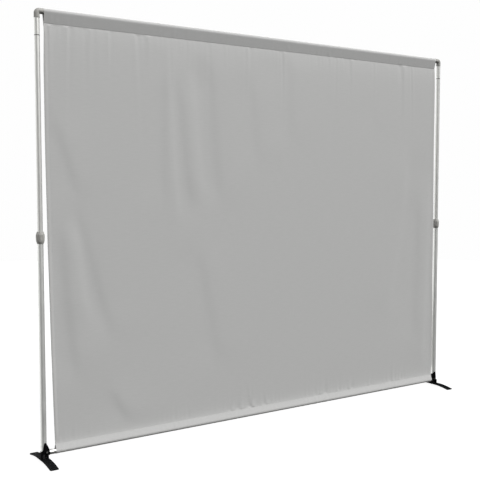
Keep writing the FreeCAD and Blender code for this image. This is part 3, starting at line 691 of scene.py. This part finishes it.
# %% [markdown]
# The sleeves are the same cloth, folded over each bar and sewn at the seam. From the side a sleeve is a
# teardrop: straight faces that rise from the seam and touch the bar, an arc over the bar, and the cut end
# that hangs behind the seam as a narrow flap. The top sleeve's front leans towards the floor, so it looks
# dark, and the bottom one leans towards the lamp and looks bright. That contrast shows the two sleeves
# in the photograph.

# %% Sleeve section
SLEEVE_SLACK = 0.3 * MILLIMETRE
SEAM_HALF = 0.75 * MILLIMETRE
FLAP_LENGTH = 12 * MILLIMETRE
FLAP_SHARES = (0.33, 0.67, 1 - RIM_ROW / FLAP_LENGTH, 1.0)
FACE_STEPS = 10
ARC_STEPS = 18
BAR_RADIUS = (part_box("top_bar_centre")[1].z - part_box("top_bar_centre")[0].z) / 2


def bar_height(node):
    low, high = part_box(node)
    return (low.z + high.z) / 2


TOP_BAR, BOTTOM_BAR = bar_height("top_bar_centre"), bar_height("bottom_bar_centre")


def points_between(start, end, shares):
    return [((1 - t) * start[0] + t * end[0], (1 - t) * start[1] + t * end[1]) for t in shares]


def sleeve_section(drop, back_half):
    """Front face, arc, back face and flap, round a bar at the origin, with the seam at -drop."""
    radius = BAR_RADIUS + SLEEVE_SLACK + CLOTH_THICKNESS / 2

    def touch(half):
        return math.atan2(-drop, half) + math.acos(radius / math.hypot(half, drop))

    angles = np.linspace(math.pi - touch(SEAM_HALF), touch(back_half), ARC_STEPS)
    arc = [(radius * math.cos(angle), radius * math.sin(angle)) for angle in angles]
    front_shares = np.insert(np.linspace(0, 1, FACE_STEPS, endpoint=False), 1, RIM_ROW / drop)
    front = points_between((-SEAM_HALF, -drop), arc[0], front_shares)
    back = points_between(arc[-1], (back_half, -drop), np.linspace(0, 1, FACE_STEPS + 1)[1:])
    flap = [(back_half, -drop - share * FLAP_LENGTH) for share in FLAP_SHARES]
    return np.array(front + arc + back + flap)


print("points round the top sleeve:", len(sleeve_section(TOP_BAR - TOP_SEAM, SEAM_HALF)))

# %% [markdown]
# The flap lies behind the panel, so where the panel leans back it has to push the flap back too. That holds
# with the stand raised and with it lowered, when the panel keeps a share of its height and its shapes come
# closer to the seams. So the panel's depth is asked for in both states, and the larger one counts.

# %% Room behind the seams
FLAP_EASE = 0.4 * MILLIMETRE
HEM_STEP_REACH = 10 * MILLIMETRE

slide = next(joint for joint in frame["record"]["behaviour"]["joints"] if joint["name"] == "height_slide")
PANEL_KEEP = 1 - abs(slide["range_m"][0]) / (TOP_SEAM - BOTTOM_SEAM)


def hem_under(x, seam_z):
    """One where the panel's side hem lies in the seam, and zero away from it."""
    inside = np.minimum(x - left_edge(seam_z), right_edge(seam_z) - x)
    return 1 - smooth_step((inside - HEM_WIDTH) / HEM_STEP_REACH)


def panel_behind(x, seam_z, away):
    """How far back the panel comes at signed distances from a seam, raised or lowered."""
    places = np.full(len(away), x)
    return np.maximum(cloth_depth(places, seam_z + away), cloth_depth(places, seam_z + away / PANEL_KEEP))


print("the panel keeps this share of its height when the stand is lowered:", round(PANEL_KEEP, 3))

# %% [markdown]
# Each sleeve is a row of such sections along its bar. The ripples of its seam run a little way up both faces,
# and a few slanting creases cross the front, mostly where two lengths of the bar meet. The same helper makes
# both sleeves: the bottom one is the top one turned upside down.

# %% Sleeves
CREASE_DEPTH = 0.9 * MILLIMETRE
CREASE_WIDTH = 13 * MILLIMETRE
TOP_CREASES = ((-0.45, 0.6), (0.15, -0.5), (0.47, 0.6))  # place along the bar in metres, and how far it leans
BOTTOM_CREASES = ((0.03, 0.5), (0.47, -0.6))


def crease_lift(x, up_face, creases):
    lift = np.zeros(len(up_face))
    for place, lean in creases:
        across = (x - place - lean * up_face) / CREASE_WIDTH
        lift += CREASE_DEPTH * across * np.exp(-across ** 2)
    return lift


def face_lift(x, section, up_face, creases, strength):
    """How far puckers and creases lift each point. Creases stay on the front and end at the bar."""
    below_bar = 1 - smooth_step((section[:, 1] + BAR_RADIUS) / BAR_RADIUS)
    on_front = smooth_step(up_face / PUCKER_REACH) * (section[:, 0] < 0)
    return pucker(x, up_face, strength(x)) - crease_lift(x, up_face, creases) * below_bar * on_front


def sleeve_row(x, drop, upward, seam_z, creases, strength):
    """The section at one place along the bar, with its puckers and creases and its flap pushed back."""
    hem = HEM_GAP * hem_under(x, seam_z)
    section = sleeve_section(drop, SEAM_HALF + hem)
    tangent = np.gradient(section, axis=0)
    tangent /= np.linalg.norm(tangent, axis=1)[:, None]
    outward = np.stack([-tangent[:, 1], tangent[:, 0]], axis=-1)
    lift = face_lift(x, section, section[:, 1] + drop, creases, strength)
    section = section + outward * lift[:, None]
    flap = section[-len(FLAP_SHARES):]
    panel = panel_behind(x, seam_z, upward * (flap[:, 1] + drop))
    flap[:, 0] = np.maximum(flap[:, 0], panel + SEAM_HALF + FLAP_EASE + hem)
    return section


def make_sleeve(name, pocket, bar_z, seam_z, creases, strength):
    upward = 1 if bar_z > seam_z else -1
    start, stop = pocket[0].x, pocket[1].x
    between = np.linspace(start, stop, round((stop - start) / COLUMN_STEP))[1:-1]
    points, places = [], []
    for x in np.concatenate([[start, start + RIM_ROW], between, [stop - RIM_ROW, stop]]):
        section = sleeve_row(x, abs(bar_z - seam_z), upward, seam_z, creases, strength)
        along = np.concatenate([[0], np.cumsum(np.linalg.norm(np.diff(section, axis=0), axis=1))])
        column = np.full(len(section), x)
        points.append(np.stack([column, section[:, 0], bar_z + upward * section[:, 1]], axis=-1))
        places.append(np.stack([column, along], axis=-1))
    return sheet_from_grid(name, np.array(points), np.array(places))


top_sleeve = make_sleeve("top_sleeve", TOP_POCKET, TOP_BAR, TOP_SEAM, TOP_CREASES, np.ones_like)
bottom_sleeve = make_sleeve(
    "bottom_sleeve", BOTTOM_POCKET, BOTTOM_BAR, BOTTOM_SEAM, BOTTOM_CREASES, bottom_strength)

# %% [markdown]
# Sewing thread is polyester too, twisted from fibres. The twist shows as fine slanting bands, which a wave
# texture gives, and the fibres stand off a little, which is the sheen.

# %% Sewing thread
THREAD_TWIST = 0.6 * MILLIMETRE


def sewing_thread(name, dark, light):
    material, tree, shader = new_surface(name, IOR=1.5, Roughness=0.6, Sheen_Weight=0.2)
    place = add_node(tree, "ShaderNodeTexCoord").outputs["Object"]
    twist = add_node(tree, "ShaderNodeTexWave", {
        "Vector": place, "Scale": WAVE_PERIOD / THREAD_TWIST}, bands_direction="DIAGONAL")
    tree.links.new(tint(tree, twist.outputs["Fac"], dark, light), shader.inputs["Base Color"])
    return material


thread = sewing_thread("polyester_sewing_thread", "#8F8F8D", "#A9A9A7")
print("thread finish:", thread.name)

# %% [markdown]
# Stitches are small, but they catch light in a row and tell the eye how large the cloth is. Each is a short
# rounded piece of thread, half sunk in the cloth. One helper lays a whole row of them as one mesh, from their
# places, the way that they run and the side that they show on.

# %% Stitches
STITCH_PITCH = 3.5 * MILLIMETRE
STITCH_LENGTH = 2.7 * MILLIMETRE
THREAD_RADIUS = 0.28 * MILLIMETRE
STITCH_SIDES = 6
# place along the stitch as a share of its length, then the share of its radius there
STITCH_RINGS = ((-0.5, 0.35), (-0.34, 1.0), (0.34, 1.0), (0.5, 0.35))


def stitch_faces():
    """The faces of one stitch: bands from ring to ring, and a cap at each end."""
    last = STITCH_SIDES * (len(STITCH_RINGS) - 1)
    faces = []
    for ring in range(0, last, STITCH_SIDES):
        above = ring + STITCH_SIDES
        for corner in range(STITCH_SIDES):
            after = (corner + 1) % STITCH_SIDES
            faces.append((ring + corner, ring + after, above + after, above + corner))
    return faces + [tuple(range(STITCH_SIDES))[::-1], tuple(range(last, last + STITCH_SIDES))]


def stitch_row(name, places, along, outward):
    """For every stitch: the place of its middle, the way that it runs and the way that it faces."""
    along /= np.linalg.norm(along, axis=1)[:, None]
    side = np.cross(along, outward)
    rings = []
    for place, share in STITCH_RINGS:
        centre = places + along * STITCH_LENGTH * place
        for angle in np.arange(STITCH_SIDES) * math.tau / STITCH_SIDES:
            around = side * math.cos(angle) + outward * math.sin(angle)
            rings.append(centre + around * THREAD_RADIUS * share)
    points = np.stack(rings, axis=1)
    count = points.shape[1]
    one_stitch = stitch_faces()
    faces = [tuple(corner + stitch * count for corner in face)
             for stitch in range(len(points)) for face in one_stitch]
    mesh = bpy.data.meshes.new(name)
    mesh.from_pydata(points.reshape(-1, 3).tolist(), [], faces)
    return finish_piece(name, mesh, thread)


print("faces in one stitch:", len(stitch_faces()))

# %% [markdown]
# The seams are sewn just above the edge of each sleeve face, through all layers, so a row shows at the front
# and at the back. The side hems are sewn near their inner edge.

# %% Seam and hem rows
SEAM_STITCH_DEPTH = 3 * MILLIMETRE
HEM_STITCH_SHARE = 0.87


def seam_stitches(name, pocket, bar_z, seam_z, strength):
    upward = 1 if bar_z > seam_z else -1
    x = np.arange(pocket[0].x + STITCH_PITCH, pocket[1].x - STITCH_PITCH, STITCH_PITCH)
    flat = sleeve_section(abs(bar_z - seam_z), SEAM_HALF)
    face = flat[1] - flat[0]
    face /= np.linalg.norm(face)
    lift = CLOTH_THICKNESS / 2 + pucker(x, SEAM_STITCH_DEPTH, strength(x))
    z = np.full(len(x), seam_z + upward * face[1] * SEAM_STITCH_DEPTH)
    places, outward = [], []
    for sign, half in ((-1, SEAM_HALF + 0 * x), (1, SEAM_HALF + HEM_GAP * hem_under(x, seam_z))):
        y = sign * (half + abs(face[0]) * SEAM_STITCH_DEPTH + lift)
        places.append(np.stack([x, y, z], axis=-1))
        outward.append(np.tile([0.0, float(sign), 0.0], (len(x), 1)))
    places = np.concatenate(places)
    along = np.tile([1.0, 0.0, 0.0], (len(places), 1))
    return stitch_row(name, places, along, np.concatenate(outward))


def hem_stitches(name, edge, inward):
    z = np.arange(
        BOTTOM_SEAM + FLAP_LENGTH + STITCH_PITCH, TOP_SEAM - FLAP_LENGTH - STITCH_PITCH, STITCH_PITCH)

    def place(height):
        x = edge(height) + inward * HEM_WIDTH * HEM_STITCH_SHARE
        return np.stack([x, cloth_depth(x, height), height], axis=-1)

    along = place(z + STITCH_PITCH / 2) - place(z - STITCH_PITCH / 2)
    front = place(z) - [0, CLOTH_THICKNESS / 2, 0]
    back = place(z) + [0, HEM_GAP + CLOTH_THICKNESS / 2, 0]
    outward = np.tile([0.0, -1.0, 0.0], (len(z), 1))
    return stitch_row(name, np.concatenate([front, back]), np.concatenate([along, along]),
                      np.concatenate([outward, -outward]))


top_seam_stitches = seam_stitches("top_seam_stitches", TOP_POCKET, TOP_BAR, TOP_SEAM, np.ones_like)
bottom_seam_stitches = seam_stitches(
    "bottom_seam_stitches", BOTTOM_POCKET, BOTTOM_BAR, BOTTOM_SEAM, bottom_strength)
left_hem_stitches = hem_stitches("left_hem_stitches", left_edge, 1)
right_hem_stitches = hem_stitches("right_hem_stitches", right_edge, -1)
points_each = STITCH_SIDES * len(STITCH_RINGS)
print("stitches in the top seam:", len(top_seam_stitches.data.vertices) // points_each)

# %% [markdown]
# Now the cloth joins the frame. The bottom sleeve and the panel stay with the lower poles, and the top sleeve
# rides on the upper ones. When the poles are pushed together, real cloth crumples. Here the panel and its hem
# stitches get meshes of their own.

# %% Join the cloth to the frame
LOWER, UPPER = "lower_frame", "upper_frame"
RIDERS = (
    (cloth_panel, LOWER), (left_hem_stitches, LOWER), (right_hem_stitches, LOWER),
    (bottom_sleeve, LOWER), (bottom_seam_stitches, LOWER),
    (top_sleeve, UPPER), (top_seam_stitches, UPPER))

for piece, body in RIDERS:
    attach(piece, body)
for piece in (cloth_panel, left_hem_stitches, right_hem_stitches):
    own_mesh(piece)

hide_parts("banner_panel")
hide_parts("banner_top_pocket")
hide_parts("banner_bottom_pocket")
for frame_half in (LOWER, UPPER):
    print("cloth pieces on", frame_half, "are", sum(body == frame_half for _, body in RIDERS))

# %% [markdown]

# %% [markdown]
# The photograph is a studio picture: one large lamp high up on the right, some light from everywhere, and a
# white background with no floor line. A sun with a wide angle is the lamp, as its light falls the same way
# all over a stand three metres wide. The angle of the lamp was worked out from how dark the top sleeve is and
# how bright the bottom one. A second sun from behind is only for the other sides. A weak panel over the stand
# makes the cloth a trace brighter at the top than at the bottom.

# %% Lamps
KEY_ELEVATION = math.radians(48)
KEY_AZIMUTH = math.radians(30)
KEY_POWER = 4.2
KEY_SOFTNESS = math.radians(12)
BACK_ELEVATION = math.radians(35)
BACK_AZIMUTH = math.radians(180)
BACK_POWER = 1.1
PANEL_LAMP_PLACE = Vector((0.0, -2.0, 4.4))
PANEL_LAMP_TARGET = Vector((0.0, 0.0, 1.6))
PANEL_LAMP_SIZE = (5.0, 1.2)
PANEL_LAMP_POWER = 16.0


def direction_to(azimuth, elevation):
    """Unit vector towards a lamp. Azimuth zero is straight in front of the stand and grows to the right."""
    level = math.cos(elevation)
    return Vector((math.sin(azimuth) * level, -math.cos(azimuth) * level, math.sin(elevation)))


def add_sun(name, azimuth, elevation, power, softness):
    data = bpy.data.lights.new(name, "SUN")
    data.energy = power
    data.angle = softness
    lamp = add_object(name, data)
    lamp.rotation_euler = direction_to(azimuth, elevation).to_track_quat("Z", "Y").to_euler()
    return lamp


def add_panel_lamp(name):
    data = bpy.data.lights.new(name, "AREA")
    data.shape = "RECTANGLE"
    data.size, data.size_y = PANEL_LAMP_SIZE
    data.energy = PANEL_LAMP_POWER
    lamp = add_object(name, data)
    lamp.location = PANEL_LAMP_PLACE
    lamp.rotation_euler = (PANEL_LAMP_TARGET - PANEL_LAMP_PLACE).to_track_quat("-Z", "Y").to_euler()
    return lamp


add_panel_lamp("overhead_panel_lamp")
add_sun("key_lamp", KEY_AZIMUTH, KEY_ELEVATION, KEY_POWER, KEY_SOFTNESS)
add_sun("back_lamp", BACK_AZIMUTH, BACK_ELEVATION, BACK_POWER, KEY_SOFTNESS)
print("the key lamp lies towards", [round(v, 2) for v in direction_to(KEY_AZIMUTH, KEY_ELEVATION)])

# %% [markdown]
# The room around is a smooth gradient that is brighter on the lamp's side. It fills the shadows and is what
# the tubes mirror. A white screen at the back left keeps the far side of each tube bright, as the photograph
# shows it. The camera itself sees plain white.

# %% Room
ROOM_DARK = 0.04
ROOM_BRIGHT = 0.19
SCREEN_GLOW = 1.3
SCREEN_AZIMUTH = math.radians(-128)
SCREEN_ELEVATION = math.radians(5)
SCREEN_SPREAD = math.radians(72)

world = bpy.data.worlds.new("studio")
world.use_nodes = True
bpy.context.scene.world = world
tree = world.node_tree
looking = add_node(tree, "ShaderNodeTexCoord").outputs["Generated"]
toward_key = add_node(tree, "ShaderNodeVectorMath", {
    0: looking, 1: direction_to(KEY_AZIMUTH, KEY_ELEVATION)}, operation="DOT_PRODUCT")
glow = add_node(tree, "ShaderNodeMapRange", {
    "Value": toward_key.outputs["Value"], "From Min": -1.0, "To Min": ROOM_DARK, "To Max": ROOM_BRIGHT})
toward_screen = add_node(tree, "ShaderNodeVectorMath", {
    0: looking, 1: direction_to(SCREEN_AZIMUTH, SCREEN_ELEVATION)}, operation="DOT_PRODUCT")
screen = add_node(tree, "ShaderNodeMapRange", {
    "Value": toward_screen.outputs["Value"], "From Min": math.cos(SCREEN_SPREAD), "To Max": SCREEN_GLOW},
    interpolation_type="SMOOTHSTEP")
both = add_node(tree, "ShaderNodeMath", {
    0: glow.outputs["Result"], 1: screen.outputs["Result"]}, operation="ADD")
room = add_node(tree, "ShaderNodeBackground", {"Strength": both.outputs[0]})
room.inputs["Color"].default_value = linear("#FFFFFF")
backdrop = add_node(tree, "ShaderNodeBackground", {"Strength": 1.0})
backdrop.inputs["Color"].default_value = linear("#FEFEFE")
seen = add_node(tree, "ShaderNodeLightPath").outputs["Is Camera Ray"]
mixed = add_node(tree, "ShaderNodeMixShader", {0: seen, 1: room.outputs[0], 2: backdrop.outputs[0]})
tree.links.new(mixed.outputs[0], tree.nodes["World Output"].inputs["Surface"])
bpy.context.scene.view_settings.view_transform = "Standard"
print("room brightness runs from", ROOM_DARK, "to", ROOM_BRIGHT)

# %% [markdown]
# The floor is pale and almost lost in the background. It glows by itself, so that it stays white, and takes
# only a trace of shadow under the feet. It doesn't light the stand, because the room already does.

# %% Floor
FLOOR_RADIUS = 12.0
FLOOR_GLOW = 0.95
FLOOR_TONE = "#454545"
FLOOR_SIDES = 96

angles = np.arange(FLOOR_SIDES) * math.tau / FLOOR_SIDES
rim = [(FLOOR_RADIUS * math.cos(angle), FLOOR_RADIUS * math.sin(angle), 0.0) for angle in angles]
floor_mesh = bpy.data.meshes.new("pale_floor")
floor_mesh.from_pydata(rim, [], [tuple(range(FLOOR_SIDES))])
floor_surface, _, floor_shader = new_surface("pale_floor", Roughness=0.9, Emission_Strength=FLOOR_GLOW)
floor_shader.inputs["Base Color"].default_value = linear(FLOOR_TONE)
floor_shader.inputs["Emission Color"].default_value = linear("#FFFFFF")
floor = finish_piece("pale_floor", floor_mesh, floor_surface)
floor.visible_diffuse = False
floor.visible_glossy = False
print("floor reaches", FLOOR_RADIUS, "metres out")
